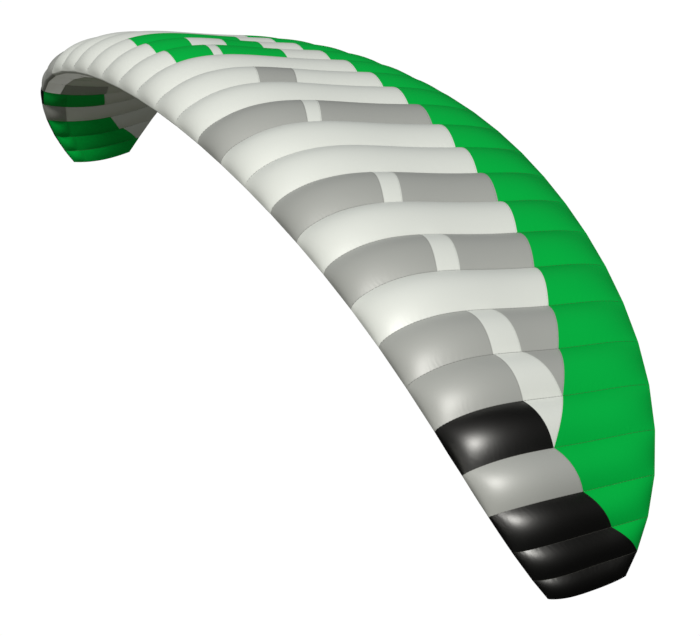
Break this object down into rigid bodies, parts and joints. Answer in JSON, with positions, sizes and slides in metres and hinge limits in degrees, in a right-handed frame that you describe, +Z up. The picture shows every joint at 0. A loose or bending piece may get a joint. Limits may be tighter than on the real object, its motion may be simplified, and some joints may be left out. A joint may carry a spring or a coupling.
{
  "type": "paraglider wing",
  "caption": "Double-skinned ram-air paraglider wing, arched in flight, with sewn air cells, inner ribs, inlets under the nose and closed tips.",
  "frame": {"origin": "the line attachment: the lower edge of the middle rib, three tenths of the chord behind the nose, where the suspension lines hold the wing", "axes": "+X along the span, -Y the flying direction, +Z up"},
  "size_m": [9.6266, 2.1797, 2.0487],
  "materials": {
    "white_cloth": "coated ripstop, satin",
    "grey_cloth": "coated ripstop, satin",
    "black_cloth": "coated ripstop, satin",
    "green_cloth": "coated ripstop, satin",
    "rib_cloth": "stiff coated ripstop, matt"
  },
  "bodies": {
    "root": {"cell_01": "black_cloth", "cell_02": "black_cloth", "cell_03": "black_cloth", "cell_04": "grey_cloth", "cell_05": "black_cloth", "cell_06": "grey_cloth", "cell_07": "grey_cloth", "cell_08": "white_cloth", "cell_09": "grey_cloth", "cell_10": "white_cloth", "cell_11": "grey_cloth", "cell_12": "white_cloth", "cell_13": "white_cloth", "cell_14": "grey_cloth", "cell_15": "white_cloth", "cell_16": "white_cloth", "cell_17": "white_cloth", "cell_18": "white_cloth", "cell_19": "green_cloth", "cell_20": "green_cloth", "cell_21": "white_cloth", "cell_22": "white_cloth", "cell_23": "white_cloth", "cell_24": "grey_cloth", "cell_25": "grey_cloth", "cell_26": "black_cloth", "cell_27": "grey_cloth", "cell_28": "black_cloth", "cell_29": "black_cloth", "cell_30": "black_cloth", "rib_01": "rib_cloth", "rib_02": "rib_cloth", "rib_03": "rib_cloth", "rib_04": "rib_cloth", "rib_05": "rib_cloth", "rib_06": "rib_cloth", "rib_07": "rib_cloth", "rib_08": "rib_cloth", "rib_09": "rib_cloth", "rib_10": "rib_cloth", "rib_11": "rib_cloth", "rib_12": "rib_cloth", "rib_13": "rib_cloth", "rib_14": "rib_cloth", "rib_15": "rib_cloth", "rib_16": "rib_cloth", "rib_17": "rib_cloth", "rib_18": "rib_cloth", "rib_19": "rib_cloth", "rib_20": "rib_cloth", "rib_21": "rib_cloth", "rib_22": "rib_cloth", "rib_23": "rib_cloth", "rib_24": "rib_cloth", "rib_25": "rib_cloth", "rib_26": "rib_cloth", "rib_27": "rib_cloth", "rib_28": "rib_cloth", "rib_29": "rib_cloth"}
  },
  "joints": []
}
